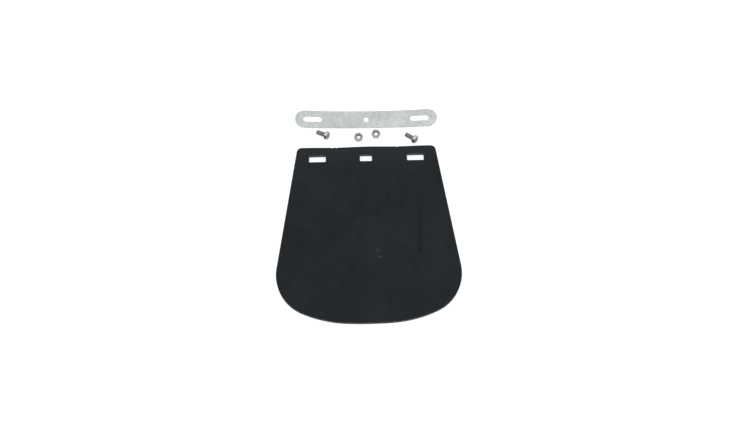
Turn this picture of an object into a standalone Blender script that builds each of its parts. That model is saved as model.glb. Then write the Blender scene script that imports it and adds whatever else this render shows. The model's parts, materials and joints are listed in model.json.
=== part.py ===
"""Mud flap kit for a small trailer mudguard, laid out flat: flap, backing strap, two bolts, two nuts.

Metres, +Z up. Everything rests on the plane z = 0. The origin is under the middle of the layout:
+X runs along the strap, and +Y runs from the flap's rounded hem to the strap.
"""

import math

import bmesh
import bpy
from mathutils import Matrix, Vector

# ---------------------------------------------------------------- driving dimensions
GAP = 0.0003  # air between two pieces that touch

FLAP_WIDTH = 0.220
FLAP_LENGTH = 0.220
FLAP_THICKNESS = 0.006
FLAP_TOP_CORNER = 0.0055  # radius of the two square-looking corners at the clamped edge
SIDE_FLARE = math.radians(9.3)  # each side runs outward by this angle on its way down
HEM_RADIUS = 0.500  # nearly flat middle of the hem
HEM_ANGLE = math.radians(3.0)  # where the hem's middle arc hands over to the shoulder arc
SHOULDER_RADIUS = 0.150
SHOULDER_ANGLE = math.radians(24.3)  # where the shoulder arc hands over to the corner arc

SLOT_DROP = 0.01465  # centre line of the slots below the clamped edge
SLOT_HEIGHT = 0.0080
SIDE_SLOT_LENGTH = 0.0204
CENTRE_SLOT_LENGTH = 0.0145
CENTRE_SLOT_SHIFT = -0.0006  # the mould puts the centre slot a little off the middle
SLOT_SPACING = 0.120
SLOT_CORNER = 0.001

FOLD_DROP = 0.042  # the line where the flap bends, below the clamped edge
FOLD_WRAP = math.radians(30)  # half angle of the socket round the skirt's nose

STRAP_LENGTH = 0.1753
STRAP_WIDTH = 0.0224
STRAP_THICKNESS = 0.0015
STRAP_BOW = 0.0058  # how far the two ends stand above the middle
STRAP_BOW_STEPS = 28
STRAP_OFFSET = 0.0379  # strap's centre line above the flap's clamped edge
STRAP_X = 0.0006  # how far the strap lies to the right of the flap
STRAP_SKEW = math.radians(-0.56)  # and how far it is turned against the flap's clamped edge
STRAP_SLOT_LENGTH = 0.0235
STRAP_SLOT_HEIGHT = 0.0071
STRAP_SLOT_SPACING = 0.1324
STRAP_HOLE = 0.0064

THREAD = 0.006  # M6
HEX_FLATS = 0.010
HEX_CORNERS = HEX_FLATS / math.sqrt(3) * 2
HEX_CHAMFER = 0.0006  # height of the turned chamfer on the corners of a hexagon
HEX_FACE = 0.0096  # diameter of the flat that the chamfer leaves
NUT_HEIGHT = 0.005
NUT_BORE = 0.0051
NUTS = {"nut_left": (-0.0091, 0.0139, 15.0), "nut_right": (0.0125, 0.0177, 0.0)}  # x, above flap, turn

BOLT_LENGTH = 0.012  # under the head
BOLT_HEAD = 0.004
BOLT_TIP = 0.001  # length of the chamfer at the thread's end
BOLT_TIP_FACE = 0.0046
BOLTS = {"bolt_left": (-0.0534, 0.0186, -24.0), "bolt_right": (0.0556, 0.0120, -35.0)}

ROUND_STEPS = 32
ARC_STEP = math.radians(7.5)
TALL = 0.050  # reach of cutters above and below the pieces

# ---------------------------------------------------------------- places worked out from them
STRAP_RISE = (STRAP_LENGTH - STRAP_WIDTH) / 2 * abs(math.sin(STRAP_SKEW))
LAYOUT_LENGTH = FLAP_LENGTH + STRAP_OFFSET + STRAP_WIDTH / 2 + STRAP_RISE
HEM_Y = -LAYOUT_LENGTH / 2
FLAP_TOP_Y = HEM_Y + FLAP_LENGTH
SLOT_Y = FLAP_TOP_Y - SLOT_DROP
FOLD_Y = FLAP_TOP_Y - FOLD_DROP
FOLD_Z = FLAP_THICKNESS / 2
STRAP_Y = FLAP_TOP_Y + STRAP_OFFSET
TURN_Y = (STRAP_Y + SLOT_Y) / 2
TURN_Z = (FLAP_THICKNESS + GAP + STRAP_THICKNESS + STRAP_BOW) / 2
BOLT_LEAN = math.atan((HEX_FLATS - THREAD) / 2 / (BOLT_LENGTH - BOLT_TIP))


def clear_scene():
    for obj in list(bpy.data.objects):
        bpy.data.objects.remove(obj, do_unlink=True)


def material(name, colour, roughness, metallic):
    made = bpy.data.materials.new(name)
    made.use_nodes = True
    shader = made.node_tree.nodes["Principled BSDF"]
    shader.inputs["Base Color"].default_value = (*colour, 1.0)
    shader.inputs["Roughness"].default_value = roughness
    shader.inputs["Metallic"].default_value = metallic
    return made


def add_object(name, bm, look=None):
    bmesh.ops.recalc_face_normals(bm, faces=bm.faces)
    mesh = bpy.data.meshes.new(name)
    bm.to_mesh(mesh)
    bm.free()
    obj = bpy.data.objects.new(name, mesh)
    bpy.context.scene.collection.objects.link(obj)
    if look:
        mesh.materials.append(look)
    return obj


def parent_on_axis(obj, name, place):
    """Puts an empty on the joint's axis and hangs the piece on it, without moving the piece."""
    pivot = bpy.data.objects.new(name, None)
    pivot.location = place
    bpy.context.scene.collection.objects.link(pivot)
    obj.parent = pivot
    obj.location -= Vector(place)


def boolean(obj, cutter, operation):
    cutter.hide_render = True
    cutter.display_type = "WIRE"
    cut = obj.modifiers.new(cutter.name, "BOOLEAN")
    cut.operation = operation
    cut.solver = "EXACT"
    cut.object = cutter


# ---------------------------------------------------------------- outlines
def arc(centre, radius, start, end):
    """Points on an arc, both ends included."""
    steps = max(2, math.ceil(abs(end - start) / ARC_STEP))
    angles = [start + (end - start) * i / steps for i in range(steps + 1)]
    return [(centre[0] + radius * math.cos(a), centre[1] + radius * math.sin(a)) for a in angles]


def rounded_rectangle(centre, length, height, radius):
    points = []
    for quarter, (sx, sy) in enumerate(((1, 1), (-1, 1), (-1, -1), (1, -1))):
        corner = (centre[0] + sx * (length / 2 - radius), centre[1] + sy * (height / 2 - radius))
        points += arc(corner, radius, quarter * math.pi / 2, (quarter + 1) * math.pi / 2)
    return points


def without_repeats(points):
    kept = []
    for point in points:
        if not kept or math.dist(point, kept[-1]) > 1e-7:
            kept.append(point)
    if math.dist(kept[0], kept[-1]) < 1e-7:
        kept.pop()
    return kept


def flap_outline():
    """Hem, shoulder and corner arcs meet tangent to tangent, then a straight side and a small top corner."""
    down = -math.pi / 2
    hem_centre = (0.0, HEM_Y + HEM_RADIUS)
    hem = arc(hem_centre, HEM_RADIUS, down, down + HEM_ANGLE)
    reach = HEM_RADIUS - SHOULDER_RADIUS
    shoulder_centre = (
        hem_centre[0] + reach * math.sin(HEM_ANGLE),
        hem_centre[1] - reach * math.cos(HEM_ANGLE),
    )
    shoulder = arc(shoulder_centre, SHOULDER_RADIUS, down + HEM_ANGLE, down + SHOULDER_ANGLE)
    meet_x, meet_y = shoulder[-1]
    corner_radius = (FLAP_WIDTH / 2 - meet_x) / (1 - math.sin(SHOULDER_ANGLE))
    corner_centre = (FLAP_WIDTH / 2 - corner_radius, meet_y + corner_radius * math.cos(SHOULDER_ANGLE))
    corner = arc(corner_centre, corner_radius, down + SHOULDER_ANGLE, SIDE_FLARE)
    side_x, side_y = corner[-1]
    top_y = FLAP_TOP_Y - FLAP_TOP_CORNER
    normal_x = FLAP_TOP_CORNER / math.cos(SIDE_FLARE)
    top_x = side_x - (top_y - side_y) * math.tan(SIDE_FLARE) - normal_x
    top = arc((top_x, top_y), FLAP_TOP_CORNER, SIDE_FLARE, math.pi / 2)
    right = hem + shoulder + corner + top
    left = [(-x, y) for x, y in reversed(right)]
    return without_repeats(right + left)


# ---------------------------------------------------------------- solids
def prism(points, base, top, place):
    """Closed solid over an outline; place turns outline coordinates and height into a position."""
    bm = bmesh.new()
    lower = [bm.verts.new(place(x, y, base)) for x, y in points]
    upper = [bm.verts.new(place(x, y, top)) for x, y in points]
    bm.faces.new(lower)
    bm.faces.new(upper)
    for i, vert in enumerate(lower):
        j = (i + 1) % len(points)
        bm.faces.new((vert, lower[j], upper[j], upper[i]))
    return bm


def upright_cutter(name, points):
    return add_object(name, prism(points, -TALL, TALL, upright))


def along_x(y, z, x):
    """Place of a point of a side profile, drawn in (y, z) and extruded along X."""
    return (x, y, z)


def along_y(x, z, y):
    """Place of a point of a front profile, drawn in (x, z) and extruded along Y."""
    return (x, y, z)


def upright(x, y, z):
    return (x, y, z)


def turned(points):
    """Solid of revolution round Z from a (radius, height) profile, or a ring if it stays off the axis."""
    bm = bmesh.new()
    rings = []
    for radius, height in points:
        if radius == 0:
            rings.append([bm.verts.new((0, 0, height))])
            continue
        turns = [math.tau * i / ROUND_STEPS for i in range(ROUND_STEPS)]
        rings.append([bm.verts.new((radius * math.cos(a), radius * math.sin(a), height)) for a in turns])
    if points[0][0] > 0:
        rings.append(rings[0])
    for first, second in zip(rings, rings[1:]):
        for i in range(ROUND_STEPS):
            j = (i + 1) % ROUND_STEPS
            corners = [ring[k % len(ring)] for ring, k in ((first, i), (first, j), (second, j), (second, i))]
            bm.faces.new(list(dict.fromkeys(corners)))
    return bm


def hexagon():
    corner = HEX_CORNERS / 2
    return [(corner * math.cos(math.tau * i / 6), corner * math.sin(math.tau * i / 6)) for i in range(6)]


def smooth(obj):
    obj.data.shade_smooth()
    obj.data.set_sharp_from_angle(angle=math.radians(35))


# ---------------------------------------------------------------- pieces
def make_flap(rubber):
    """One moulding in two solids: the band that is clamped, and the skirt that bends away from it."""
    half = FLAP_THICKNESS / 2
    wide = FLAP_WIDTH
    outline = upright_cutter("flap_outline", flap_outline())

    socket = half + GAP
    edge_y = FOLD_Y + socket * math.cos(FOLD_WRAP)
    hollow = arc((FOLD_Y, FOLD_Z), socket, FOLD_WRAP, -FOLD_WRAP)
    top_y = FLAP_TOP_Y + FLAP_TOP_CORNER
    band_side = [(top_y, 0.0), (top_y, FLAP_THICKNESS), (edge_y, FLAP_THICKNESS), *hollow, (edge_y, 0.0)]
    band = add_object("flap_clamp_band", prism(band_side, -wide, wide, along_x), rubber)
    boolean(band, outline, "INTERSECT")
    slots = [(CENTRE_SLOT_SHIFT, CENTRE_SLOT_LENGTH)]
    slots += [(side * SLOT_SPACING / 2, SIDE_SLOT_LENGTH) for side in (-1, 1)]
    for number, (x, length) in enumerate(slots, start=1):
        shape = rounded_rectangle((x, SLOT_Y), length, SLOT_HEIGHT, SLOT_CORNER)
        boolean(band, upright_cutter(f"flap_slot_{number}", without_repeats(shape)), "DIFFERENCE")

    nose = arc((FOLD_Y, FOLD_Z), half, -math.pi / 2, math.pi / 2)
    hem_y = HEM_Y - half
    skirt_side = [(hem_y, FLAP_THICKNESS), (hem_y, 0.0), *nose]
    skirt = add_object("flap_skirt", prism(skirt_side, -wide, wide, along_x), rubber)
    boolean(skirt, outline, "INTERSECT")
    parent_on_axis(skirt, "fold_axis", (0.0, FOLD_Y, FOLD_Z))


def make_strap(zinc):
    """Thin strap with round ends, bowed so that its ends stand a little higher than its middle."""
    half = STRAP_LENGTH / 2
    bow_radius = (half**2 + STRAP_BOW**2) / (2 * STRAP_BOW)
    reach = half + STRAP_THICKNESS
    xs = [reach * (2 * i / STRAP_BOW_STEPS - 1) for i in range(STRAP_BOW_STEPS + 1)]
    under = [(x, bow_radius - math.sqrt(bow_radius**2 - x * x)) for x in xs]
    over = [(x, z + STRAP_THICKNESS) for x, z in reversed(under)]
    strap = add_object(
        "backing_strap",
        prism(under + over, -STRAP_WIDTH, STRAP_WIDTH, along_y),
        zinc,
    )
    shape = rounded_rectangle((0.0, 0.0), STRAP_LENGTH, STRAP_WIDTH, STRAP_WIDTH / 2)
    outline = upright_cutter("strap_outline", without_repeats(shape))
    boolean(strap, outline, "INTERSECT")
    pieces = [strap, outline]
    holes = [(0.0, STRAP_HOLE, STRAP_HOLE)]
    holes += [(side * STRAP_SLOT_SPACING / 2, STRAP_SLOT_LENGTH, STRAP_SLOT_HEIGHT) for side in (-1, 1)]
    for number, (x, length, height) in enumerate(holes, start=1):
        shape = rounded_rectangle((x, 0.0), length, height, height / 2)
        hole = upright_cutter(f"strap_hole_{number}", without_repeats(shape))
        boolean(strap, hole, "DIFFERENCE")
        pieces.append(hole)
    for piece in pieces:
        piece.location = (STRAP_X, STRAP_Y, 0.0)
        piece.rotation_euler = (0.0, 0.0, STRAP_SKEW)
    parent_on_axis(strap, "turn_over_axis", (0.0, TURN_Y, TURN_Z))


def make_nuts(steel):
    corner = HEX_CORNERS / 2 + GAP
    face = HEX_FACE / 2
    bore = NUT_BORE / 2
    half = NUT_HEIGHT / 2
    profile = [
        (bore, -half),
        (face, -half),
        (corner, HEX_CHAMFER - half),
        (corner, half - HEX_CHAMFER),
        (face, half),
        (bore, half),
    ]
    for name, (x, above, turn) in NUTS.items():
        nut = add_object(name, turned(profile), steel)
        flats = upright_cutter(name + "_flats", hexagon())
        boolean(nut, flats, "INTERSECT")
        smooth(nut)
        for obj in (nut, flats):
            obj.location = (x, FLAP_TOP_Y + above, half)
            obj.rotation_euler = (0.0, 0.0, math.radians(turn))


def bolt_turn(azimuth):
    """Rotation that lays local +Z, which runs from tip to head, along the lying bolt, one flat down."""
    along = Vector((
        math.cos(BOLT_LEAN) * math.cos(azimuth),
        math.cos(BOLT_LEAN) * math.sin(azimuth),
        math.sin(BOLT_LEAN),
    ))
    level = Vector((-math.sin(azimuth), math.cos(azimuth), 0.0))
    return Matrix((level, along.cross(level), along)).transposed()


def make_bolts(steel):
    """Hexagon head bolts, each lying on one flat of its head and the end of its thread."""
    corner = HEX_CORNERS / 2 + GAP
    radius = THREAD / 2
    end = BOLT_LENGTH + BOLT_HEAD
    profile = [
        (0, 0),
        (BOLT_TIP_FACE / 2, 0),
        (radius, BOLT_TIP),
        (radius, BOLT_LENGTH),
        (corner, BOLT_LENGTH),
        (corner, end - HEX_CHAMFER),
        (HEX_FACE / 2, end),
        (0, end),
    ]
    for name, (x, above, azimuth) in BOLTS.items():
        bolt = add_object(name, turned(profile), steel)
        flats = upright_cutter(name + "_flats", hexagon())
        boolean(bolt, flats, "INTERSECT")
        smooth(bolt)
        turn = bolt_turn(math.radians(azimuth))
        tip_height = radius * math.cos(BOLT_LEAN) - BOLT_TIP * math.sin(BOLT_LEAN)
        along = turn @ Vector((0, 0, 1))
        tip = Vector((x, FLAP_TOP_Y + above, 0)) - along * end / 2
        for obj in (bolt, flats):
            obj.location = (tip.x, tip.y, tip_height)
            obj.rotation_euler = turn.to_euler()


def main():
    clear_scene()
    rubber = material("black_rubber", (0.022, 0.026, 0.030), 0.85, 0.0)
    zinc = material("galvanised_strap", (0.53, 0.56, 0.54), 0.45, 1.0)
    steel = material("zinc_plated_steel", (0.60, 0.60, 0.58), 0.30, 1.0)
    make_flap(rubber)
    make_strap(zinc)
    make_nuts(steel)
    make_bolts(steel)


main()
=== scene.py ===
"""Mud flap kit: the looks of a rubber flap, its backing strap, two bolts and two nuts.

Laid out as a Blender add-on and run as a script. Metres, +Z up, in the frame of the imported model.
Each piece's place and overall size is read from there. The outlines' radii, the edges, the threads
and the finishes are set here.
"""

import json
import math

import bmesh
import bpy
from bpy.props import FloatProperty, FloatVectorProperty, PointerProperty
from mathutils import Matrix, Vector


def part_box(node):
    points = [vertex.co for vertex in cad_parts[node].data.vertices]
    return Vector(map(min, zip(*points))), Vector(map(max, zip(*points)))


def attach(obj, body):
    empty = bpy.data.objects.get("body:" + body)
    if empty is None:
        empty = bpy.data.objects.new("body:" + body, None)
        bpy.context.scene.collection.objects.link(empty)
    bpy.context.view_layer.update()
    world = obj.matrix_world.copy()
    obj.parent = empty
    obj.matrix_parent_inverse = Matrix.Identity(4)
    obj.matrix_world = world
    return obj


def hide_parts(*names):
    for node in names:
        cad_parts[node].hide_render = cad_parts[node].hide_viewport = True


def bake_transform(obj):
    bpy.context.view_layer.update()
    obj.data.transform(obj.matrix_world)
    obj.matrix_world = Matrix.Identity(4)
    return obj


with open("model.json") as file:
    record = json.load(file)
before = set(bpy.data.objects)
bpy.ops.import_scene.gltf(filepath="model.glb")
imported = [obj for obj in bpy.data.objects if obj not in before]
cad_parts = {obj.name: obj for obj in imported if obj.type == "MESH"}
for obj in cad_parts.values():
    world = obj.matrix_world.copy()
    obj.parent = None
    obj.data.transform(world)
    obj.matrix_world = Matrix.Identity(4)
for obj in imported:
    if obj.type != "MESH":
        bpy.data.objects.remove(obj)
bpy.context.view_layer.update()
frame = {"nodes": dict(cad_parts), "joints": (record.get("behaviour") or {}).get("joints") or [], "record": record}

bl_info = {
    "name": "Mud Flap Kit",
    "version": (1, 0, 0),
    "blender": (4, 5, 0),
    "location": "3D View > Sidebar > Mud Flap",
    "description": "Models a mud flap with its backing strap, bolts and nuts",
    "category": "Add Mesh",
}

JOINTS = {joint["name"]: joint for joint in frame["joints"]}
OPENINGS = {opening["name"]: opening["box_m"] for opening in frame["record"]["physics"]["openings"]}
OPENING_MARGIN = 0.0004  # how far an opening's box stays inside the flap's slots
SAME_PLACE = 1e-6  # two points closer than this are one
LEVEL_ERROR = 1e-7  # a point within this of a height is at it

BAND_LOW, BAND_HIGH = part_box("flap_clamp_band")
SKIRT_LOW, SKIRT_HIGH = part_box("flap_skirt")
STRAP_LOW, STRAP_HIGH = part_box("backing_strap")

PLACE = "rest_place"  # point attribute: where the surface was when it was made, for all patterns
RIM = "rim"  # point attribute: 1 on rounded and worn edges, which also carry painted highlight, 0 on faces
VALLEY = "valley"  # point attribute: 1 in the bottom of a thread or recess, 0 elsewhere; it sets where painted shade goes


# ---------------------------------------------------------------- settings
class FlapSettings(bpy.types.PropertyGroup):
    top_corner: FloatProperty(
        name="Top Corner Radius",
        description="Radius of the two corners at the clamped edge",
        default=0.0055,
        min=0.001,
        unit="LENGTH",
    )
    side_flare: FloatProperty(
        name="Side Flare",
        description="Angle by which each side runs outward on its way down",
        default=math.radians(9.3),
        subtype="ANGLE",
    )
    hem_radius: FloatProperty(
        name="Hem Radius",
        description="Radius of the nearly flat middle of the hem",
        default=0.5,
        unit="LENGTH",
    )
    hem_angle: FloatProperty(
        name="Hem Angle",
        description="Half angle of the hem's middle arc",
        default=math.radians(3.0),
        subtype="ANGLE",
    )
    shoulder_radius: FloatProperty(
        name="Shoulder Radius",
        description="Radius of the arcs between the hem and the lower corners",
        default=0.15,
        unit="LENGTH",
    )
    shoulder_angle: FloatProperty(
        name="Shoulder Angle",
        description="Angle at which a shoulder arc hands over to the lower corner",
        default=math.radians(24.3),
        subtype="ANGLE",
    )
    slot_corner: FloatProperty(
        name="Slot Corner Radius",
        description="Radius of the moulded corners of the slots",
        default=0.0012,
        unit="LENGTH",
    )
    edge_round: FloatProperty(
        name="Edge Rounding",
        description="Radius of the moulded edges of the rubber",
        default=0.0008,
        min=0.0001,
        unit="LENGTH",
    )
    bend_length: FloatProperty(
        name="Bend Length",
        description="Length of rubber over which the skirt bends away from the clamped band",
        default=0.032,
        unit="LENGTH",
    )
    colour: FloatVectorProperty(
        name="Rubber Colour",
        description="Body colour of the rubber",
        subtype="COLOR",
        default=(0.0178, 0.0214, 0.0243),
        min=0.0,
        max=1.0,
    )
    roughness: FloatProperty(
        name="Rubber Roughness",
        description="Mean roughness of the rubber's face",
        default=0.80,
        subtype="FACTOR",
        min=0.0,
        max=1.0,
    )


class StrapSettings(bpy.types.PropertyGroup):
    thickness: FloatProperty(
        name="Strap Thickness",
        description="Thickness of the galvanised sheet",
        default=0.0015,
        unit="LENGTH",
    )
    slot_length: FloatProperty(
        name="Slot Length",
        description="End to end length of the strap's slots",
        default=0.0235,
        unit="LENGTH",
    )
    slot_height: FloatProperty(
        name="Slot Height",
        description="Width across the strap's slots",
        default=0.0071,
        unit="LENGTH",
    )
    hole: FloatProperty(
        name="Centre Hole",
        description="Diameter of the strap's centre hole",
        default=0.0064,
        unit="LENGTH",
    )
    colour: FloatVectorProperty(
        name="Zinc Colour",
        description="Colour of the galvanised coat",
        subtype="COLOR",
        default=(0.502, 0.526, 0.514),
        min=0.0,
        max=1.0,
    )
    roughness: FloatProperty(
        name="Zinc Roughness",
        description="Mean roughness of the galvanised coat",
        default=0.42,
        subtype="FACTOR",
        min=0.0,
        max=1.0,
    )


class FastenerSettings(bpy.types.PropertyGroup):
    thread: FloatProperty(
        name="Thread Diameter",
        description="Outside diameter of the thread",
        default=0.006,
        unit="LENGTH",
    )
    pitch: FloatProperty(
        name="Thread Pitch",
        description="Distance from one turn of the thread to the next",
        default=0.001,
        unit="LENGTH",
    )
    flats: FloatProperty(
        name="Across Flats",
        description="Width of the hexagons across their flats",
        default=0.010,
        unit="LENGTH",
    )
    shank: FloatProperty(
        name="Bolt Length",
        description="Length of a bolt under its head",
        default=0.012,
        unit="LENGTH",
    )
    head: FloatProperty(
        name="Head Height",
        description="Height of a bolt's head",
        default=0.004,
        unit="LENGTH",
    )
    nut_height: FloatProperty(
        name="Nut Height",
        description="Height of a nut",
        default=0.005,
        unit="LENGTH",
    )
    colour: FloatVectorProperty(
        name="Plating Colour",
        description="Colour of the zinc plating",
        subtype="COLOR",
        default=(0.41, 0.41, 0.402),
        min=0.0,
        max=1.0,
    )
    roughness: FloatProperty(
        name="Plating Roughness",
        description="Mean roughness of the plating",
        default=0.24,
        subtype="FACTOR",
        min=0.0,
        max=1.0,
    )


class StageSettings(bpy.types.PropertyGroup):
    azimuth: FloatProperty(
        name="Camera Azimuth",
        description="How far the camera stands to the right of the layout's centre line",
        default=math.radians(-0.72),
        subtype="ANGLE",
    )
    elevation: FloatProperty(
        name="Camera Elevation",
        description="Height of the camera above the horizon",
        default=math.radians(72.6),
        subtype="ANGLE",
    )
    roll: FloatProperty(
        name="Camera Roll",
        description="Turn of the camera about its line of sight",
        default=math.radians(-0.56),
        subtype="ANGLE",
    )
    distance: FloatProperty(
        name="Camera Distance",
        description="Distance from the camera to the point that it looks at",
        default=1.229,
        unit="LENGTH",
    )
    lens: FloatProperty(
        name="Focal Length",
        description="Focal length of the camera, in millimetres on a 36 mm sensor",
        default=49.60,
    )
    floor_colour: FloatVectorProperty(
        name="Table Colour",
        description="Colour of the pale table top",
        subtype="COLOR",
        default=(0.42, 0.42, 0.42),
        min=0.0,
        max=1.0,
    )
    ambient: FloatProperty(
        name="Ambient Light",
        description="Strength of the even light from overhead",
        default=1.37,
        min=0.0,
    )
    horizon: FloatProperty(
        name="Horizon Share",
        description="Share of the overhead light that comes from the horizon",
        default=0.18,
        subtype="FACTOR",
        min=0.0,
        max=1.0,
    )
    table_glow: FloatProperty(
        name="Table Glow",
        description="Light that comes through the pale table top itself",
        default=0.78,
        min=0.0,
    )
    softbox: FloatProperty(
        name="Softbox Power",
        description="Power of the lamp beyond the strap, on the left, in watts",
        default=2.5,
        min=0.0,
    )


class KitSettings(bpy.types.PropertyGroup):
    flap: PointerProperty(
        type=FlapSettings, name="Flap", description="Shape and finish of the flap"
    )
    strap: PointerProperty(
        type=StrapSettings, name="Strap", description="Shape and finish of the strap"
    )
    fastener: PointerProperty(
        type=FastenerSettings, name="Fasteners", description="Shape and finish of bolts and nuts"
    )
    stage: PointerProperty(
        type=StageSettings, name="Stage", description="Table, light and camera"
    )


# ---------------------------------------------------------------- outlines
def arc(centre, radius, start, end, spacing):
    """Points on an arc about a spacing apart, both ends included."""
    steps = max(3, math.ceil(abs(end - start) * radius / spacing))
    points = []
    for i in range(steps + 1):
        angle = start + (end - start) * i / steps
        x = centre[0] + radius * math.cos(angle)
        y = centre[1] + radius * math.sin(angle)
        points.append(Vector((x, y)))
    return points


def rounded_rectangle(centre, length, height, radius, spacing):
    points = []
    for quarter, (sx, sy) in enumerate(((1, 1), (-1, 1), (-1, -1), (1, -1))):
        corner = (
            centre[0] + sx * (length / 2 - radius),
            centre[1] + sy * (height / 2 - radius),
        )
        start, end = quarter * math.pi / 2, (quarter + 1) * math.pi / 2
        points += arc(corner, radius, start, end, spacing)
    return points


def closed_loop(points, spacing):
    """Drops repeated points of a loop and fills long straight stretches at a spacing."""
    kept = [p for p, q in zip(points, points[-1:] + points[:-1]) if (p - q).length > SAME_PLACE]
    loop = []
    for here, after in zip(kept, kept[1:] + kept[:1]):
        steps = max(1, round((after - here).length / spacing))
        loop += [here.lerp(after, i / steps) for i in range(steps)]
    return loop


def inset_loop(points, distance):
    """A counter-clockwise loop moved inward by a distance, with mitred corners."""
    moved = []
    for before, here, after in zip(points[-1:] + points[:-1], points, points[1:] + points[:1]):
        first = (here - before).normalized()
        second = (after - here).normalized()
        normal_1 = Vector((-first.y, first.x))
        normal_2 = Vector((-second.y, second.x))
        moved.append(here + (normal_1 + normal_2) * (distance / (1 + normal_1.dot(normal_2))))
    return moved


# ---------------------------------------------------------------- meshes
def quads_between(bm, rings):
    for first, second in zip(rings, rings[1:]):
        for i in range(len(first)):
            j = (i + 1) % len(first)
            bm.faces.new((first[i], first[j], second[j], second[i]))


RIM_STEPS = 4  # in each quarter round of an edge


def rim_profile(thickness, upper, lower, guard):
    """Rings round an edge as (inset, height, rim value), from inside the upper face to the lower.

    upper and lower are the radii of the two edges, and guard is how far inside them a face starts.
    """
    quarter = [math.pi / 2 * i / RIM_STEPS for i in range(RIM_STEPS + 1)]
    rings = [(upper + guard, thickness, 0.0)]
    for a in quarter:
        height = thickness - upper * (1 - math.cos(a))
        rings.append((upper * (1 - math.sin(a)), height, math.sin(a)))
    for a in quarter:
        rings.append((lower * (1 - math.cos(a)), lower * (1 - math.sin(a)), math.cos(a)))
    rings.append((lower + guard, 0.0, 0.0))
    return rings


def lies_level(face, height):
    return all(abs(vert.co.z - height) < LEVEL_ERROR for vert in face.verts)


def plate(outline, holes, rings, cuts):
    """Flat plate with rounded rims round its outline and holes, its faces divided along cuts."""
    bm = bmesh.new()
    rim = bm.verts.layers.float.new(RIM)
    borders = ([], [])
    for loop, side in [(outline, 1)] + [(hole, -1) for hole in holes]:
        made = []
        for inset, height, wear in rings:
            ring = [bm.verts.new((*point, height)) for point in inset_loop(loop, side * inset)]
            for vert in ring:
                vert[rim] = wear
            made.append(ring)
        quads_between(bm, made)
        for border, ring in zip(borders, (made[0], made[-1])):
            border += [bm.edges.get((a, b)) for a, b in zip(ring, ring[1:] + ring[:1])]
    for border in borders:
        bmesh.ops.triangle_fill(bm, use_beauty=True, use_dissolve=True, edges=border)
    upper, lower = rings[0][1], rings[-1][1]
    for place, normal in cuts:
        faces = [f for f in bm.faces if lies_level(f, upper) or lies_level(f, lower)]
        edges = {e for f in faces for e in f.edges}
        verts = {v for f in faces for v in f.verts}
        bmesh.ops.bisect_plane(
            bm,
            geom=[*verts, *edges, *faces],
            dist=SAME_PLACE,
            plane_co=place,
            plane_no=normal,
        )
    bmesh.ops.recalc_face_normals(bm, faces=bm.faces)
    return bm


def grid_cuts(low, high, spacing):
    """Cutting lines across X and Y at an even spacing between two corners."""
    cuts = []
    for axis, normal in ((0, (1, 0, 0)), (1, (0, 1, 0))):
        steps = round((high[axis] - low[axis]) / spacing)
        for i in range(1, steps):
            place = [0.0, 0.0, 0.0]
            place[axis] = low[axis] + (high[axis] - low[axis]) * i / steps
            cuts.append((place, normal))
    return cuts


SHEET_SHARP = 35  # degrees between two faces from which the edge between them is drawn sharp
FASTENER_SHARP = 32


def finish_piece(name, bm, look, matrix=None, sharp=SHEET_SHARP):
    """Turns a bmesh into a piece with its material, smooth shading and rest-place attribute."""
    mesh = bpy.data.meshes.new(name)
    bm.to_mesh(mesh)
    bm.free()
    place = mesh.attributes.new(PLACE, "FLOAT_VECTOR", "POINT")
    place.data.foreach_set("vector", [c for v in mesh.vertices for c in v.co])
    if matrix:
        mesh.transform(matrix)
    mesh.materials.append(look)
    mesh.shade_smooth()
    mesh.set_sharp_from_angle(angle=math.radians(sharp))
    piece = bpy.data.objects.new(name, mesh)
    bpy.context.scene.collection.objects.link(piece)
    return piece


# ---------------------------------------------------------------- shader node groups
def new_group(name, inputs, outputs):
    group = bpy.data.node_groups.new(name, "ShaderNodeTree")
    for label, kind, default in inputs:
        socket = group.interface.new_socket(name=label, in_out="INPUT", socket_type=kind)
        if default is not None:
            socket.default_value = default
    for label, kind in outputs:
        group.interface.new_socket(name=label, in_out="OUTPUT", socket_type=kind)
    return group, group.nodes.new("NodeGroupInput"), group.nodes.new("NodeGroupOutput")


def node(tree, kind, inputs=(), **settings):
    """Adds a node; inputs pairs a socket's name or number with a value or with a socket to link."""
    made = tree.nodes.new(kind)
    for key, value in settings.items():
        setattr(made, key, value)
    for socket, value in dict(inputs).items():
        if isinstance(value, bpy.types.NodeSocket):
            tree.links.new(value, made.inputs[socket])
        else:
            made.inputs[socket].default_value = value
    return made


def math_node(tree, operation, first, second, clamp=False):
    made = node(
        tree, "ShaderNodeMath", {0: first, 1: second}, operation=operation, use_clamp=clamp
    )
    return made.outputs[0]


def vector_math(tree, operation, *vectors):
    inputs = dict(enumerate(vectors))
    return node(tree, "ShaderNodeVectorMath", inputs, operation=operation).outputs


def noise(tree, vector, scale, detail, roughness=0.5):
    inputs = {"Vector": vector, "Scale": scale, "Detail": detail, "Roughness": roughness}
    return node(tree, "ShaderNodeTexNoise", inputs).outputs


def mix_colour(tree, factor, first, second, blend="MIX"):
    made = node(
        tree,
        "ShaderNodeMix",
        {0: factor, 6: first, 7: second},
        data_type="RGBA",
        blend_type=blend,
    )
    return made.outputs[2]


def value_range(tree, value, low, high, from_low=0.0, from_high=1.0):
    return node(
        tree,
        "ShaderNodeMapRange",
        {
            "Value": value,
            "From Min": from_low,
            "From Max": from_high,
            "To Min": low,
            "To Max": high,
        },
    ).outputs[0]


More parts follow.
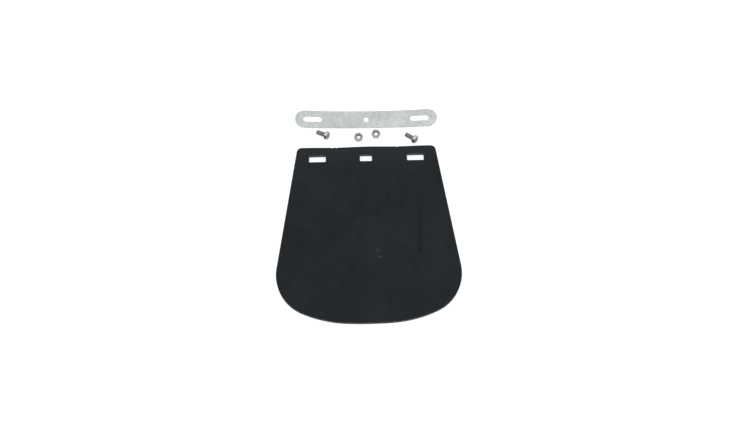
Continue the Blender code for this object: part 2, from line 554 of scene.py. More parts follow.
def mottle_group():
    """Soft patches at two scales: a colour between two tones, and the patch value itself."""
    group, entry, leave = new_group(
        "Mottle",
        [
            ("Vector", "NodeSocketVector", None),
            ("Scale", "NodeSocketFloat", 20.0),
            ("Contrast", "NodeSocketFloat", 1.0),
            ("Dark", "NodeSocketColor", (0.1, 0.1, 0.1, 1)),
            ("Light", "NodeSocketColor", (0.2, 0.2, 0.2, 1)),
        ],
        [("Color", "NodeSocketColor"), ("Value", "NodeSocketFloat")],
    )
    vector, scale = entry.outputs["Vector"], entry.outputs["Scale"]
    wide = noise(group, vector, scale, 5.0, 0.6)["Fac"]
    fine = noise(group, vector, math_node(group, "MULTIPLY", scale, 7.3), 3.0, 0.55)["Fac"]
    mixed = math_node(
        group,
        "ADD",
        math_node(group, "MULTIPLY", wide, 0.65),
        math_node(group, "MULTIPLY", fine, 0.35),
    )
    centred = math_node(group, "SUBTRACT", mixed, 0.5)
    gain = math_node(group, "MULTIPLY", entry.outputs["Contrast"], 4.0)
    stretched = math_node(group, "MULTIPLY", centred, gain)
    value = math_node(group, "ADD", stretched, 0.5, clamp=True)
    colour = mix_colour(group, value, entry.outputs["Dark"], entry.outputs["Light"])
    group.links.new(colour, leave.inputs["Color"])
    group.links.new(value, leave.inputs["Value"])
    return group


def grain_group():
    """Height of a fine moulded or rolled grain, with a coarser swell under it."""
    group, entry, leave = new_group(
        "Grain",
        [
            ("Vector", "NodeSocketVector", None),
            ("Grain Scale", "NodeSocketFloat", 1500.0),
            ("Swell Scale", "NodeSocketFloat", 90.0),
            ("Swell Share", "NodeSocketFloat", 0.4),
        ],
        [("Height", "NodeSocketFloat")],
    )
    grain = noise(group, entry.outputs["Vector"], entry.outputs["Grain Scale"], 2.0)["Fac"]
    swell = noise(group, entry.outputs["Vector"], entry.outputs["Swell Scale"], 4.0)["Fac"]
    height = node(
        group,
        "ShaderNodeMix",
        {0: entry.outputs["Swell Share"], 2: grain, 3: swell},
        data_type="FLOAT",
    )
    group.links.new(height.outputs[0], leave.inputs["Height"])
    return group


def edge_wear_and_highlight_group():
    """Mask of rubbed edges and of painted edge highlight: strong on rims, broken up by noise."""
    group, entry, leave = new_group(
        "Edge Wear And Highlight",
        [
            ("Vector", "NodeSocketVector", None),
            ("Amount", "NodeSocketFloat", 1.0),
            ("Scale", "NodeSocketFloat", 400.0),
        ],
        [("Mask", "NodeSocketFloat")],
    )
    rim = node(group, "ShaderNodeAttribute", attribute_name=RIM)
    chips = noise(group, entry.outputs["Vector"], entry.outputs["Scale"], 3.0)["Fac"]
    broken = value_range(group, chips, 0.35, 1.0, 0.32, 0.62)
    mask = math_node(group, "MULTIPLY", rim.outputs["Fac"], broken)
    amount = math_node(group, "MULTIPLY", mask, entry.outputs["Amount"], clamp=True)
    group.links.new(amount, leave.inputs["Mask"])
    return group


def shared_group(name):
    makers = {"Mottle": mottle_group, "Grain": grain_group, "Edge Wear And Highlight": edge_wear_and_highlight_group}
    return bpy.data.node_groups.get(name) or makers[name]()


def place_group(tree, name, inputs):
    return node(tree, "ShaderNodeGroup", inputs, node_tree=shared_group(name))


# ---------------------------------------------------------------- materials
def new_material(name):
    """An empty node material with a Principled shader, its output, and the rest-place vector."""
    made = bpy.data.materials.new(name)
    made.use_nodes = True
    tree = made.node_tree
    shader = tree.nodes["Principled BSDF"]
    place = node(tree, "ShaderNodeAttribute", attribute_name=PLACE).outputs["Vector"]
    return made, tree, shader, place


def tone(colour, factor):
    return (*(c * factor for c in colour), 1.0)


def mottled(tree, vector, scale, contrast, colour, dark, light):
    """Soft patches between two tones of a colour: the outputs of a placed Mottle group."""
    inputs = {
        "Vector": vector,
        "Scale": scale,
        "Contrast": contrast,
        "Dark": tone(colour, dark),
        "Light": tone(colour, light),
    }
    return place_group(tree, "Mottle", inputs).outputs


def rim_wear_and_highlight(tree, vector, amount, scale):
    inputs = {"Vector": vector, "Amount": amount, "Scale": scale}
    return place_group(tree, "Edge Wear And Highlight", inputs).outputs["Mask"]


def grained(tree, vector, grain_scale, swell_scale, swell_share):
    inputs = {
        "Vector": vector,
        "Grain Scale": grain_scale,
        "Swell Scale": swell_scale,
        "Swell Share": swell_share,
    }
    return place_group(tree, "Grain", inputs).outputs["Height"]


def add_bump(tree, shader, height, distance, strength):
    bump = node(
        tree, "ShaderNodeBump", {"Height": height, "Distance": distance, "Strength": strength}
    )
    tree.links.new(bump.outputs[0], shader.inputs["Normal"])


def rub_mark(tree, place, centre, size, angle):
    """Mask of one soft long rub mark on the upper face: 1 in its middle, 0 outside its size."""
    away = vector_math(tree, "SUBTRACT", place, centre)[0]
    turned = node(
        tree,
        "ShaderNodeVectorRotate",
        {"Vector": away, "Angle": -angle},
        rotation_type="Z_AXIS",
    ).outputs[0]
    shrink = tuple(1 / side for side in size)
    scaled = vector_math(tree, "MULTIPLY", turned, shrink)[0]
    length = vector_math(tree, "LENGTH", scaled)["Value"]
    return value_range(tree, length, 1.0, 0.0)


# Marks on the flap's face: place, half length, half width, turn in degrees, and strength.
SCUFFS = (
    (0.0113, -0.0465, 0.0040, 0.0024, 28, 0.50),
    (0.0140, -0.0554, 0.0050, 0.0022, -8, 0.50),
    (-0.0117, -0.0428, 0.0034, 0.0020, 60, 0.15),
)
STREAKS = (
    (0.0620, -0.0240, 0.0380, 0.0038, 90, 0.50),
    (0.0602, -0.0470, 0.0048, 0.0030, 80, 0.50),
    (0.0530, -0.0480, 0.0036, 0.0030, 90, 0.55),
)
MARK_DEPTH = 0.002  # how far into the rubber a mark's colour reaches
SCUFF_COLOUR = (0.075, 0.085, 0.088)
STREAK_TONE = 0.35  # of the rubber's colour
# colour of the rubber's rims and walls: partly wear, partly painted highlight
RIM_RUBBER_WEAR_AND_HIGHLIGHT = (0.145, 0.147, 0.147)
PALE_BAND_REACH = 0.030  # how far down from the clamped edge the rubber turns paler
PALE_BAND_TONE = 1.45  # of the rubber's colour
# colour of the strap's rims and cut walls: partly wear, partly painted highlight
RIM_ZINC_WEAR_AND_HIGHLIGHT = (0.56, 0.575, 0.57)
RUBBED_PLATING_TONE = 1.35  # of the plating's colour
# colour of painted shade in threads, recesses, under the bolt's head and in its dish
RECESS_SHADE_COLOUR = (0.13, 0.129, 0.125)


def rubber_material(settings):
    """Matt black moulded rubber: soft pale patches, paler towards the clamped edge, rims lightened by wear and
    painted highlight, faint scuffs and fine grain.
    """
    made, tree, shader, place = new_material("moulded_rubber")
    mottle = mottled(tree, place, 16.0, 1.1, settings.colour, 0.83, 1.23)
    up_the_flap = node(tree, "ShaderNodeSeparateXYZ", {0: place}).outputs["Y"]
    # paler towards the clamped edge
    paler_band = value_range(tree, up_the_flap, 0.0, 0.8, BAND_HIGH.y - PALE_BAND_REACH, BAND_HIGH.y)
    pale = tone(settings.colour, PALE_BAND_TONE)
    colour = mix_colour(tree, paler_band, mottle["Color"], pale)
    # rims and walls lightened: real wear plus painted highlight
    colour = mix_colour(tree, rim_wear_and_highlight(tree, place, 0.95, 260.0), colour, tone(RIM_RUBBER_WEAR_AND_HIGHLIGHT, 1.0))
    streak_colour = tone(settings.colour, STREAK_TONE)
    for marks, tint in ((SCUFFS, tone(SCUFF_COLOUR, 1.0)), (STREAKS, streak_colour)):
        for x, y, long, wide, turn, strength in marks:
            size = (long, wide, MARK_DEPTH)
            mark = rub_mark(tree, place, (x, y, BAND_HIGH.z), size, math.radians(turn))
            colour = mix_colour(tree, math_node(tree, "MULTIPLY", mark, strength), colour, tint)
    tree.links.new(colour, shader.inputs["Base Color"])
    low, high = settings.roughness - 0.06, settings.roughness + 0.08
    rough = value_range(tree, mottle["Value"], low, high)
    tree.links.new(rough, shader.inputs["Roughness"])
    shader.inputs["Specular IOR Level"].default_value = 0.10
    add_bump(tree, shader, grained(tree, place, 1700.0, 75.0, 0.4), 0.00016, 0.55)
    return made


def galvanised_material(settings):
    """Hot-dip galvanised sheet: dull crystals that each catch the light, and rims brightened by wear and painted
    highlight.
    """
    made, tree, shader, place = new_material("galvanised_sheet")
    flattened = vector_math(tree, "MULTIPLY", place, (1.0, 1.0, 0.35))[0]
    ragged = noise(tree, flattened, 420.0, 2.0)["Color"]
    warped = vector_math(tree, "MULTIPLY_ADD", ragged, (0.0016, 0.0016, 0.0016), flattened)[0]
    crystals = node(tree, "ShaderNodeTexVoronoi", {"Vector": warped, "Scale": 620.0})
    crystal = node(tree, "ShaderNodeSeparateColor", {0: crystals.outputs["Color"]})
    mottle = mottled(tree, place, 38.0, 1.0, settings.colour, 0.92, 1.07)
    spangle = value_range(tree, crystal.outputs[0], 0.90, 1.07)
    spangled = mix_colour(tree, 1.0, mottle["Color"], spangle, "MULTIPLY")
    # rims and cut walls brightened: wear plus painted highlight
    colour = mix_colour(tree, rim_wear_and_highlight(tree, place, 0.5, 700.0), spangled, tone(RIM_ZINC_WEAR_AND_HIGHLIGHT, 1.0))
    tree.links.new(colour, shader.inputs["Base Color"])
    shader.inputs["Metallic"].default_value = 1.0
    low, high = settings.roughness + 0.03, settings.roughness - 0.03
    rough = math_node(
        tree,
        "ADD",
        value_range(tree, crystal.outputs[1], -0.03, 0.04),
        value_range(tree, mottle["Value"], low, high),
    )
    tree.links.new(rough, shader.inputs["Roughness"])
    crystal_step = math_node(tree, "MULTIPLY", crystal.outputs[2], 0.35)
    height = math_node(tree, "ADD", grained(tree, place, 2600.0, 260.0, 0.6), crystal_step)
    add_bump(tree, shader, height, 0.00008, 0.6)
    return made


def plated_material(settings, name, brightness):
    """Zinc plating on steel: painted shade in threads, recesses, under the head and in its dish, with clean rims
    and a fine grain.

    brightness scales the plating's colour; the nuts' copy is darker, painted shade for the darker reflections on
    their faces.
    """
    made, tree, shader, place = new_material(name)
    base = tuple(channel * brightness for channel in settings.colour)
    mottle = mottled(tree, place, 180.0, 1.0, base, 0.84, 1.08)
    bright = tone(base, RUBBED_PLATING_TONE)
    cleaned = mix_colour(tree, rim_wear_and_highlight(tree, place, 0.7, 900.0), mottle["Color"], bright)
    valley = node(tree, "ShaderNodeAttribute", attribute_name=VALLEY).outputs["Fac"]
    recess_shade = math_node(tree, "MULTIPLY", valley, 0.8)
    # painted shade in threads, recesses, under the head and in the dish
    colour = mix_colour(tree, recess_shade, cleaned, tone(RECESS_SHADE_COLOUR, 1.0))
    tree.links.new(colour, shader.inputs["Base Color"])
    shader.inputs["Metallic"].default_value = 1.0
    low, high = settings.roughness + 0.06, settings.roughness - 0.04
    rough = math_node(
        tree,
        "ADD",
        value_range(tree, mottle["Value"], low, high),
        math_node(tree, "MULTIPLY", valley, 0.25),
    )
    tree.links.new(rough, shader.inputs["Roughness"])
    add_bump(tree, shader, grained(tree, place, 5000.0, 700.0, 0.5), 0.00003, 0.5)
    return made


def floor_material(settings):
    """Matt table top that glows white, with the slightest unevenness in its tone."""
    made = bpy.data.materials.new("light_table")
    made.use_nodes = True
    tree = made.node_tree
    shader = tree.nodes["Principled BSDF"]
    coordinates = node(tree, "ShaderNodeTexCoord").outputs["Object"]
    mottle = mottled(tree, coordinates, 1.5, 0.5, settings.floor_colour, 0.99, 1.0)
    tree.links.new(mottle["Color"], shader.inputs["Base Color"])
    shader.inputs["Roughness"].default_value = 0.9
    shader.inputs["Specular IOR Level"].default_value = 0.1
    shader.inputs["Emission Color"].default_value = (1.0, 1.0, 1.0, 1.0)
    shader.inputs["Emission Strength"].default_value = settings.table_glow
    return made


# ---------------------------------------------------------------- flap
EDGE_WANDER = 0.0003  # how far the clamped edge strays from straight
EDGE_WANDER_LENGTH = 0.074
EDGE_STEPS = 4  # extra points on the clamped edge, in each spacing, to carry its nicks
ON_EDGE = 1e-5  # a point within this of the clamped edge belongs to it
NICK_DEPTH = 0.0006
NICK_WIDTH = 0.0011
NICKS = (-0.0415, -0.0362, 0.0375)  # where moulding gates were trimmed off the clamped edge
FLAP_SPACING = 0.0025  # between points of the flap's outlines
FLAP_CORNER_SPACING = 0.0003  # between points of its slots' corners
FLAP_GRID = 0.006  # between cuts across its faces, so that they can follow the lie and the bend
FLAP_GUARD = 0.0005
LOWER_EDGE_SHARE = 0.7  # rounding of the lower edge, over that of the upper one
BEND_STEPS = 16
LIE = 0.00016  # mean height of the rubber off the table
LIE_WAVES = (31, 27)  # radians per metre along X and Y
LIE_START = (0.7, -0.4)


def clamped_edge(x):
    """Height of the clamped edge over its straight line at a place along it."""
    wander = EDGE_WANDER * math.cos(math.tau * x / EDGE_WANDER_LENGTH)
    nicks = sum(math.exp(-(((x - nick) / NICK_WIDTH) ** 2)) for nick in NICKS)
    return wander - NICK_DEPTH * nicks


def flap_outline(settings, spacing):
    """Hem, shoulder and corner arcs, straight flared sides, and the clamped edge with its nicks."""
    half = (SKIRT_HIGH.x - SKIRT_LOW.x) / 2
    down = -math.pi / 2
    hem_centre = (0.0, SKIRT_LOW.y + settings.hem_radius)
    hem = arc(hem_centre, settings.hem_radius, down, down + settings.hem_angle, spacing)
    reach = settings.hem_radius - settings.shoulder_radius
    shoulder_centre = (
        hem_centre[0] + reach * math.sin(settings.hem_angle),
        hem_centre[1] - reach * math.cos(settings.hem_angle),
    )
    turns = (down + settings.hem_angle, down + settings.shoulder_angle)
    shoulder = arc(shoulder_centre, settings.shoulder_radius, *turns, spacing)
    meet = shoulder[-1]
    radius = (half - meet.x) / (1 - math.sin(settings.shoulder_angle))
    corner_centre = (half - radius, meet.y + radius * math.cos(settings.shoulder_angle))
    corner = arc(corner_centre, radius, turns[1], settings.side_flare, spacing)
    side = corner[-1]
    top_y = BAND_HIGH.y - settings.top_corner
    top_x = side.x - (top_y - side.y) * math.tan(settings.side_flare)
    top_x -= settings.top_corner / math.cos(settings.side_flare)
    top = arc((top_x, top_y), settings.top_corner, settings.side_flare, math.pi / 2, spacing / 3)
    right = hem + shoulder + corner + top
    left = [Vector((-p.x, p.y)) for p in reversed(right)]
    loop = closed_loop(right + left, spacing)
    shaped = []
    for here, after in zip(loop, loop[1:] + loop[:1]):
        steps = EDGE_STEPS if min(here.y, after.y) > BAND_HIGH.y - ON_EDGE else 1
        for i in range(steps):
            point = here.lerp(after, i / steps)
            if point.y > BAND_HIGH.y - ON_EDGE:
                point.y += clamped_edge(point.x)
            shaped.append(point)
    return shaped


def flap_slots(settings, spacing):
    """The three slots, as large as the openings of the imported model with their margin."""
    loops = []
    for name in ("flap_slot_left", "flap_slot_centre", "flap_slot_right"):
        low, high = OPENINGS[name]
        centre = ((low[0] + high[0]) / 2, (low[1] + high[1]) / 2)
        length = high[0] - low[0] + 2 * OPENING_MARGIN
        height = high[1] - low[1] + 2 * OPENING_MARGIN
        shape = rounded_rectangle(
            centre, length, height, settings.slot_corner, FLAP_CORNER_SPACING
        )
        loops.append(closed_loop(shape, spacing))
    return loops


def lie_of_rubber(x, y):
    """How far the rubber stands off the table: it lies a little uneven, as thick rubber does."""
    along = math.sin(x * LIE_WAVES[0] + LIE_START[0])
    return LIE * (1 + along * math.sin(y * LIE_WAVES[1] + LIE_START[1]))


class MUD_FLAP_OT_flap(bpy.types.Operator):
    """Model the flap as one sheet of rubber, cut closely across where the skirt meets the clamped band"""

    bl_idname = "mud_flap.make_flap"
    bl_label = "Make Flap"

    def execute(self, context):
        settings = context.scene.mud_flap_kit.flap
        outline = flap_outline(settings, FLAP_SPACING)
        slots = flap_slots(settings, FLAP_SPACING)
        thickness = BAND_HIGH.z - BAND_LOW.z
        lower_round = settings.edge_round * LOWER_EDGE_SHARE
        rings = rim_profile(thickness, settings.edge_round, lower_round, FLAP_GUARD)
        fold = Vector(JOINTS["flap_flex"]["pos_m"])
        cuts = grid_cuts(SKIRT_LOW.xy, (SKIRT_HIGH.x, BAND_HIGH.y), FLAP_GRID)
        for i in range(BEND_STEPS + 1):
            y = fold.y + settings.bend_length * (i / BEND_STEPS - 0.5)
            cuts.append(((0.0, y, 0.0), (0, 1, 0)))
        bm = plate(outline, slots, rings, cuts)
        for vert in bm.verts:
            vert.co.z += lie_of_rubber(vert.co.x, vert.co.y)
        piece = finish_piece("mud_flap_rubber", bm, rubber_material(settings))
        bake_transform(piece)
        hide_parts("flap_clamp_band", "flap_skirt")
        return {"FINISHED"}


# ---------------------------------------------------------------- strap
STRAP_SPACING = 0.0020  # between points of the strap's outlines
STRAP_END_SPACING = 0.0012  # between points of its round ends
STRAP_HOLE_SPACING = 0.0006  # between points of its holes' round ends
STRAP_GRID = 0.0035  # between cuts across its faces, so that they can follow the bow
STRAP_UPPER_ROUND = 0.00035  # the side that the punch enters draws in more
STRAP_LOWER_ROUND = 0.00012
STRAP_GUARD = 0.0003


def opening_centre(name):
    low, high = OPENINGS[name]
    return Vector((low[0] + high[0], low[1] + high[1])) / 2


class MUD_FLAP_OT_strap(bpy.types.Operator):
    """Model the galvanised backing strap, punched from sheet and slightly bowed"""

    bl_idname = "mud_flap.make_strap"
    bl_label = "Make Backing Strap"

    def execute(self, context):
        settings = context.scene.mud_flap_kit.strap
        left, right = (opening_centre(f"strap_slot_{side}") for side in ("left", "right"))
        skew = math.atan2(right.y - left.y, right.x - left.x)
        extent = STRAP_HIGH - STRAP_LOW
        straight = (extent.x - extent.y) / (math.cos(skew) - abs(math.sin(skew)))
        width = extent.y - straight * abs(math.sin(skew))
        length = straight + width

        ends = rounded_rectangle((0, 0), length, width, width / 2, STRAP_END_SPACING)
        outline = closed_loop(ends, STRAP_SPACING)
        holes = [((0, 0), settings.hole, settings.hole)]
        reach = (right - left).length / 2
        for side in (-1, 1):
            holes.append(((side * reach, 0), settings.slot_length, settings.slot_height))
        loops = []
        for centre, long, high in holes:
            shape = rounded_rectangle(centre, long, high, high / 2, STRAP_HOLE_SPACING)
            loops.append(closed_loop(shape, STRAP_SPACING))
        rings = rim_profile(
            settings.thickness, STRAP_UPPER_ROUND, STRAP_LOWER_ROUND, STRAP_GUARD
        )
        half = Vector((length / 2, width / 2))
        bm = plate(outline, loops, rings, grid_cuts(-half, half, STRAP_GRID))

        bow = extent.z - settings.thickness
        radius = ((length / 2) ** 2 + bow**2) / (2 * bow)
        for vert in bm.verts:
            vert.co.z += radius - math.sqrt(radius**2 - vert.co.x**2)
        middle = ((STRAP_LOW + STRAP_HIGH) / 2).to_2d().to_3d()
        matrix = Matrix.Translation(middle) @ Matrix.Rotation(skew, 4, "Z")
        look = galvanised_material(settings)
        piece = finish_piece("galvanised_strap", bm, look, matrix)
        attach(piece, "strap")
        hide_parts("backing_strap")
        return {"FINISHED"}


# ---------------------------------------------------------------- bolts and nuts
COLUMNS = 72  # round a fastener, a whole number on each of its six sides
ROWS_PER_TURN = 10
CREST_SHARE = 0.22  # of the pitch that is the thread's flat crest
ROOT_SHARE = 0.20  # of the pitch that is the thread's flat root
THREAD_DEPTH = 0.58  # of the pitch
NUT_THREAD_SHARE = 0.7  # depth of a nut's thread, over that of a bolt's
THREAD_ROOT_SHADE = 0.15  # painted shade: how dark the bottom of a thread is painted beside the bottom of a recess
RUBBED_CREST = 0.8  # height on the thread, out of 1, from which it is rubbed bright
RUBBED_BORE_CREST = 0.9
TIP_SLOPE = 0.8  # of the chamfer at a bolt's tip, radius over length
RUN_OUT_LIFT = 0.35  # height on the thread, out of 1, at which it runs out under the head
CORNER_ROUND = 0.00025  # how much is taken off the six edges of a hexagon
FACE_CHAMFER = math.radians(30)
FACE_SHARE = 0.88  # diameter of the disc that the chamfer leaves, over the width across flats
DISH_DEPTH = 0.0004  # of the recess forged into the middle of a bolt's head
WASHER_SHARE = 0.93  # diameter of the washer face under a bolt's head, over the width across flats
WASHER_HEIGHT = 0.0002
BORE_MOUTH = 0.00035  # how far the mouth of a nut's countersink stands outside its thread
COUNTERSINK = 0.0006  # depth of the countersink
BOLT_PLATING = ("bright_zinc_plating", 1.0)  # name of the material, and its brightness
# the nuts' plating is a darker copy of the bolts': painted shade
NUT_PLATING = ("shaded_zinc_plating", 0.76)


def hexagon_radius(flats, angle):
    """Distance from axis to side, with corners at 0, 60, 120... degrees rubbed slightly round."""
    to_corner = (angle + math.pi / 6) % (math.pi / 3) - math.pi / 6
    to_flat = math.pi / 6 - abs(to_corner)
    side = flats / 2 / math.cos(to_flat)
    return min(side, flats / math.sqrt(3) - CORNER_ROUND)


def thread_height(place, turn, pitch):
    """0 in the root of a right-hand thread and 1 on its crest, at a place and a turn round it."""
    phase = (place / pitch - turn) % 1.0
    slope = abs(phase - 0.5) * 2
    return min(1.0, max(0.0, (slope - ROOT_SHARE) / (1 - ROOT_SHARE - CREST_SHARE)))


def skin(rows, capped):
    """Surface through rows of (radius, height, rim, valley) round Z, capped or joined in a ring."""
    bm = bmesh.new()
    rim = bm.verts.layers.float.new(RIM)
    valley = bm.verts.layers.float.new(VALLEY)
    rings = []
    for row in rows:
        ring = []
        for column in range(COLUMNS):
            angle = math.tau * column / COLUMNS
            radius, height, rubbed, deep = row(angle)
            vert = bm.verts.new((radius * math.cos(angle), radius * math.sin(angle), height))
            vert[rim] = rubbed
            vert[valley] = deep
            ring.append(vert)
        rings.append(ring)
    quads_between(bm, rings if capped else rings + rings[:1])
    if capped:
        bm.faces.new(rings[0])
        bm.faces.new(rings[-1])
    bmesh.ops.recalc_face_normals(bm, faces=bm.faces)
    return bm


def circle(radius, height, rubbed=0.0, deep=0.0):
    return lambda angle: (radius, height, rubbed, deep)


def hexagon_face(settings, face_height, way):
    """Rows over one chamfered hexagon face, from its disc to its side. way is +1 if it faces up."""
    disc = settings.flats / 2 * FACE_SHARE

    def lip(angle, share):
        outer = hexagon_radius(settings.flats, angle)
        radius = disc + (outer - disc) * share
        drop = max(0.0, outer - disc) * share * math.tan(FACE_CHAMFER)
        return radius, face_height - way * drop, 1.0 if share == 1.0 else 0.3, 0.0

    return [
        circle(disc * 0.97, face_height),
        circle(disc, face_height, 0.6),
        lambda angle: lip(angle, 0.5),
        lambda angle: lip(angle, 1.0),
    ]


def hexagon_side(settings, height, rubbed=0.0):
    def row(angle):
        radius = hexagon_radius(settings.flats, angle)
        corner = radius > settings.flats / math.sqrt(3) - CORNER_ROUND * 1.5
        return radius, height, 1.0 if corner else rubbed, 0.0

    return row


def bolt_rows(settings):
    """From the bolt's tip, along its thread, under its head and over it to the dish in its top."""
    crest = settings.thread / 2
    depth = THREAD_DEPTH * settings.pitch
    tip_face = crest - depth * 1.15
    rows = [circle(tip_face * 0.55, 0.00005), circle(tip_face, 0.0, 0.5)]

    def thread_row(height):
        def row(angle):
            lift = thread_height(height, angle / math.tau, settings.pitch)
            run_out = min(1.0, max(0.0, (settings.shank - height) / settings.pitch))
            lift = lift * run_out + RUN_OUT_LIFT * (1 - run_out)
            radius = min(crest - depth + depth * lift, tip_face + height * TIP_SLOPE)
            rubbed = float(lift > RUBBED_CREST)
            return radius, height, rubbed, THREAD_ROOT_SHADE * (1.0 - lift)

        return row

    count = round(settings.shank / settings.pitch * ROWS_PER_TURN)
    rows += [thread_row(settings.shank * i / count) for i in range(1, count)]
    neck = crest - depth * 0.65
    under = settings.shank
    washer = settings.flats / 2 * WASHER_SHARE
    rows += [
        # painted shade under the head
        circle(neck, under - 0.0001, 0.0, 0.6),
        circle(neck + 0.0002, under, 0.0, 0.4),
        circle(washer, under, 0.4),
        circle(washer + 0.00005, under + WASHER_HEIGHT),
        hexagon_side(settings, under + WASHER_HEIGHT, 0.6),
        hexagon_side(settings, under + WASHER_HEIGHT * 2),
    ]
    top = under + settings.head
    rows += reversed(hexagon_face(settings, top, 1))
    disc = settings.flats / 2 * FACE_SHARE
    rows += [
        # painted shade in the dish, standing in for the shadowed table that the head's end reflects
        circle(disc * 0.84, top - 0.00004, 0.0, 0.1),
        circle(disc * 0.74, top - DISH_DEPTH * 0.8, 0.0, 0.8),
        circle(disc * 0.40, top - DISH_DEPTH, 0.0, 1.0),
    ]
    return rows


def nut_rows(settings):
    """Once round the nut's section: lower face, side, upper face, and down the threaded bore."""
    half = settings.nut_height / 2
    crest = settings.thread / 2
    depth = THREAD_DEPTH * settings.pitch * NUT_THREAD_SHARE
    mouth = crest + BORE_MOUTH
    flare = (mouth - crest + depth) / COUNTERSINK
    rows = [circle(mouth, -half, 0.8), circle(mouth + 0.0002, -half, 0.2)]
    rows += hexagon_face(settings, -half, -1)
    rows += reversed(hexagon_face(settings, half, 1))
    rows += [circle(mouth + 0.0002, half, 0.2), circle(mouth, half, 0.8)]

    def bore_row(height):
        def row(angle):
            lift = thread_height(height, angle / math.tau, settings.pitch)
            radius = max(crest - depth * lift, mouth - (half - abs(height)) * flare)
            rubbed = 0.6 * (lift > RUBBED_BORE_CREST)
            return radius, height, rubbed, THREAD_ROOT_SHADE * (1.0 - 0.8 * lift)

        return row

    count = round(settings.nut_height / settings.pitch * ROWS_PER_TURN)
    rows += [bore_row(half - settings.nut_height * i / count) for i in range(1, count)]
    return rows


def lying_bolt(joint):
    """Matrix that lays local +Z, from tip to head, on the joint's axis with one flat down."""
    along = Vector(joint["axis"]).normalized()
    level = Vector((-along.y, along.x, 0.0)).normalized()
    turn = Matrix((level, along.cross(level), along)).transposed().to_4x4()
    return Matrix.Translation(Vector(joint["pos_m"])) @ turn


def standing_nut(joint, node_name):
    """Matrix of a nut on its joint's axis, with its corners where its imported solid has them."""
    centre = Vector(joint["pos_m"])
    offsets = [vert.co - centre for vert in frame["nodes"][node_name].data.vertices]
    corner = max(offsets, key=lambda offset: offset.xy.length)
    return Matrix.Translation(centre) @ Matrix.Rotation(math.atan2(corner.y, corner.x), 4, "Z")


def plating(context, name, brightness):
    settings = context.scene.mud_flap_kit.fastener
    return bpy.data.materials.get(name) or plated_material(settings, name, brightness)


class MUD_FLAP_OT_bolts(bpy.types.Operator):
    """Model both hexagon head bolts with their cut threads"""

    bl_idname = "mud_flap.make_bolts"
    bl_label = "Make Bolts"

    def execute(self, context):
        settings = context.scene.mud_flap_kit.fastener
        for name in ("bolt_left", "bolt_right"):
            bm = skin(bolt_rows(settings), capped=True)
            matrix = lying_bolt(JOINTS[name + "_turn"])
            look = plating(context, *BOLT_PLATING)
            piece = finish_piece("hex_" + name, bm, look, matrix, FASTENER_SHARP)
            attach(piece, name)
            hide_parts(name)
        return {"FINISHED"}


class MUD_FLAP_OT_nuts(bpy.types.Operator):
    """Model both hexagon nuts with their tapped bores"""

    bl_idname = "mud_flap.make_nuts"
    bl_label = "Make Nuts"

    def execute(self, context):
        settings = context.scene.mud_flap_kit.fastener
        for name in ("nut_left", "nut_right"):
            bm = skin(nut_rows(settings), capped=False)
            matrix = standing_nut(JOINTS[name + "_turn"], name)
            look = plating(context, *NUT_PLATING)
            piece = finish_piece("hex_" + name, bm, look, matrix, FASTENER_SHARP)
            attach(piece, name)
            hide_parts(name)
        return {"FINISHED"}


# ---------------------------------------------------------------- stage
FLOOR_REACH = 6.0  # from the middle of the table top to its sides
FLOOR_DROP = 0.0001
SOFTBOX_PLACE = (-1.0, 1.3, 1.4)
SOFTBOX_SIDE = 1.2
LOOK_AT = (0.0022, -0.00365, 0.0)  # the point that the camera looks at
SKY_COLOUR = (0.97, 0.985, 1.0, 1.0)
SKY_FADE = (0.35, 0.95)  # sines of the heights where overhead light starts and is full


def add_floor(settings):
    half = FLOOR_REACH
    bm = bmesh.new()
    corners = ((-half, -half), (half, -half), (half, half), (-half, half))
    bm.faces.new([bm.verts.new((x, y, 0.0)) for x, y in corners])
    mesh = bpy.data.meshes.new("floor")
    bm.to_mesh(mesh)
    bm.free()
    mesh.materials.append(floor_material(settings))
    floor = bpy.data.objects.new("floor", mesh)
    bpy.context.scene.collection.objects.link(floor)
    floor.location.z = -FLOOR_DROP


def add_softbox(settings):
    data = bpy.data.lights.new("left_softbox", "AREA")
    data.shape = "RECTANGLE"
    data.size = data.size_y = SOFTBOX_SIDE
    data.energy = settings.softbox
    lamp = bpy.data.objects.new("left_softbox", data)
    lamp.location = SOFTBOX_PLACE
    lamp.rotation_euler = (-Vector(SOFTBOX_PLACE)).to_track_quat("-Z", "Y").to_euler()
    bpy.context.scene.collection.objects.link(lamp)


def add_ambient(settings):
    """Even light from above that fades towards the horizon, as in a room with a white ceiling."""
    world = bpy.data.worlds.new("even_light")
    world.use_nodes = True
    tree = world.node_tree
    direction = node(tree, "ShaderNodeTexCoord").outputs["Generated"]
    height = node(tree, "ShaderNodeSeparateXYZ", {0: direction}).outputs["Z"]
    fade = node(
        tree,
        "ShaderNodeMapRange",
        {
            "Value": height,
            "From Min": SKY_FADE[0],
            "From Max": SKY_FADE[1],
            "To Min": settings.ambient * settings.horizon,
            "To Max": settings.ambient,
        },
        interpolation_type="SMOOTHSTEP",
    )
    background = tree.nodes["Background"]
    background.inputs["Color"].default_value = SKY_COLOUR
    tree.links.new(fade.outputs[0], background.inputs["Strength"])
    bpy.context.scene.world = world


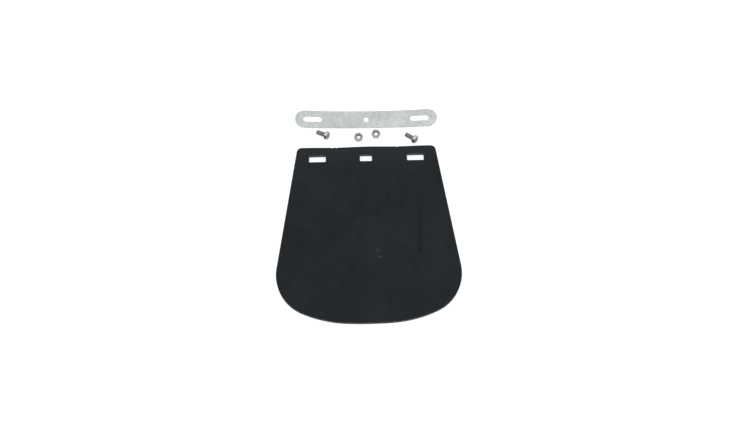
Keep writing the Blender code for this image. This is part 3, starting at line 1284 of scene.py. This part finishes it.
def add_camera(settings):
    data = bpy.data.cameras.new("camera")
    data.lens = settings.lens
    data.clip_start = 0.01
    camera = bpy.data.objects.new("camera", data)
    back = Vector((
        math.sin(settings.azimuth) * math.cos(settings.elevation),
        -math.cos(settings.azimuth) * math.cos(settings.elevation),
        math.sin(settings.elevation),
    ))
    facing = (-back).to_track_quat("-Z", "Y")
    camera.rotation_mode = "QUATERNION"
    camera.rotation_quaternion = facing @ Matrix.Rotation(settings.roll, 3, "Z").to_quaternion()
    camera.location = Vector(LOOK_AT) + back * settings.distance
    bpy.context.scene.collection.objects.link(camera)
    bpy.context.scene.camera = camera


class MUD_FLAP_OT_stage(bpy.types.Operator):
    bl_idname = "mud_flap.make_stage"
    bl_label = "Make Stage"

    def execute(self, context):
        settings = context.scene.mud_flap_kit.stage
        add_floor(settings)
        add_ambient(settings)
        add_softbox(settings)
        add_camera(settings)
        context.scene.view_settings.view_transform = "Standard"
        return {"FINISHED"}


# ---------------------------------------------------------------- panel and registration
OPERATORS = (
    MUD_FLAP_OT_flap,
    MUD_FLAP_OT_strap,
    MUD_FLAP_OT_bolts,
    MUD_FLAP_OT_nuts,
    MUD_FLAP_OT_stage,
)
SETTINGS = (FlapSettings, StrapSettings, FastenerSettings, StageSettings, KitSettings)


class MUD_FLAP_PT_kit(bpy.types.Panel):
    bl_idname = "MUD_FLAP_PT_kit"
    bl_label = "Mud Flap Kit"
    bl_space_type = "VIEW_3D"
    bl_region_type = "UI"
    bl_category = "Mud Flap"

    def draw(self, context):
        kit = context.scene.mud_flap_kit
        for group in (kit.flap, kit.strap, kit.fastener, kit.stage):
            box = self.layout.box()
            for name in group.bl_rna.properties.keys():
                if name not in ("rna_type", "name"):
                    box.prop(group, name)
        for operator in OPERATORS:
            self.layout.operator(operator.bl_idname)


CLASSES = (*SETTINGS, *OPERATORS, MUD_FLAP_PT_kit)


def register():
    for cls in CLASSES:
        bpy.utils.register_class(cls)
    bpy.types.Scene.mud_flap_kit = PointerProperty(type=KitSettings)


def unregister():
    del bpy.types.Scene.mud_flap_kit
    for cls in reversed(CLASSES):
        bpy.utils.unregister_class(cls)


def main():
    register()
    bpy.ops.mud_flap.make_flap()
    bpy.ops.mud_flap.make_strap()
    bpy.ops.mud_flap.make_bolts()
    bpy.ops.mud_flap.make_nuts()
    bpy.ops.mud_flap.make_stage()


if __name__ == "__main__":
    main()
